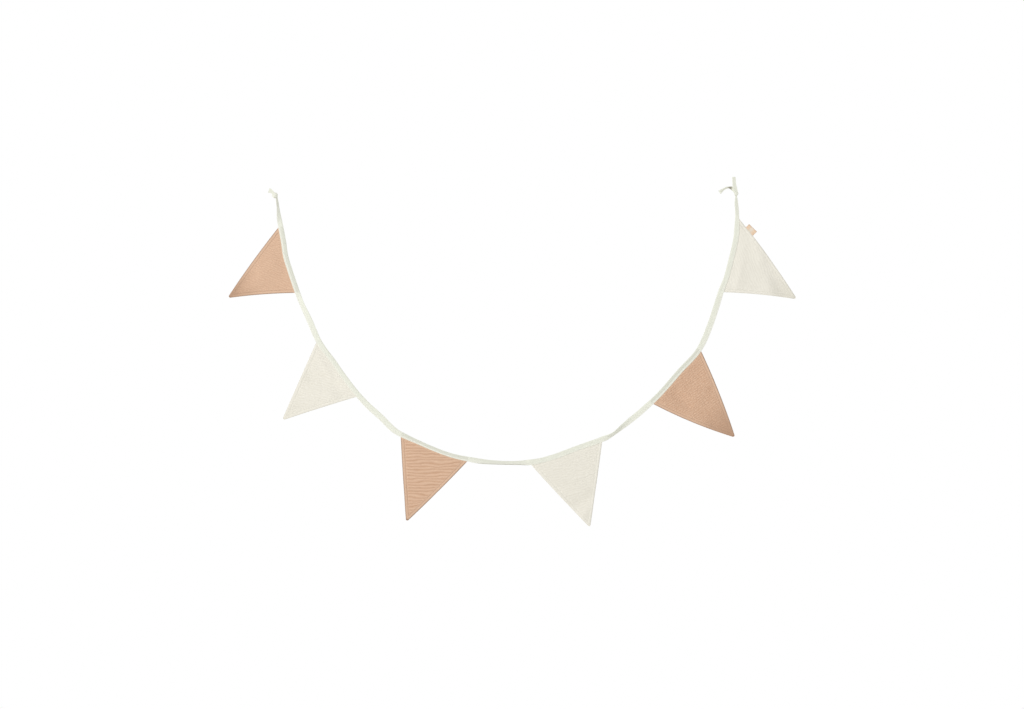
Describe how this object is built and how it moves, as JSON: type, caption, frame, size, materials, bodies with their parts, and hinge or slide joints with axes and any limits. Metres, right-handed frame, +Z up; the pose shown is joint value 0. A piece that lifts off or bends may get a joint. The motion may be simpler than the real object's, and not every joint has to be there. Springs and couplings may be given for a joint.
{
  "type": "fabric bunting",
  "caption": "Cloth bunting: triangular muslin flags in two colours along one folded bias tape that hangs in a deep swag between two knotted ends.",
  "frame": {"origin": "halfway between the two knots, in the upright plane that the bunting hangs in", "axes": "+X runs from the left knot to the right knot as seen from the front, +Y points to the wall behind, +Z points up"},
  "size_m": [1.3605, 0.0129, 0.8382],
  "materials": {
    "plain_muslin_tape": "matt plain-weave cotton",
    "tan_crinkled_muslin": "matt crinkled double muslin",
    "cream_crinkled_muslin": "matt crinkled double muslin",
    "peach_ribbon": "matt woven ribbon"
  },
  "bodies": {
    "root": {"tape": "plain_muslin_tape", "flag_1": "tan_crinkled_muslin", "flag_2": "cream_crinkled_muslin", "flag_3": "tan_crinkled_muslin", "flag_4": "cream_crinkled_muslin", "flag_5": "tan_crinkled_muslin", "flag_6": "cream_crinkled_muslin", "label": "peach_ribbon"}
  },
  "joints": []
}
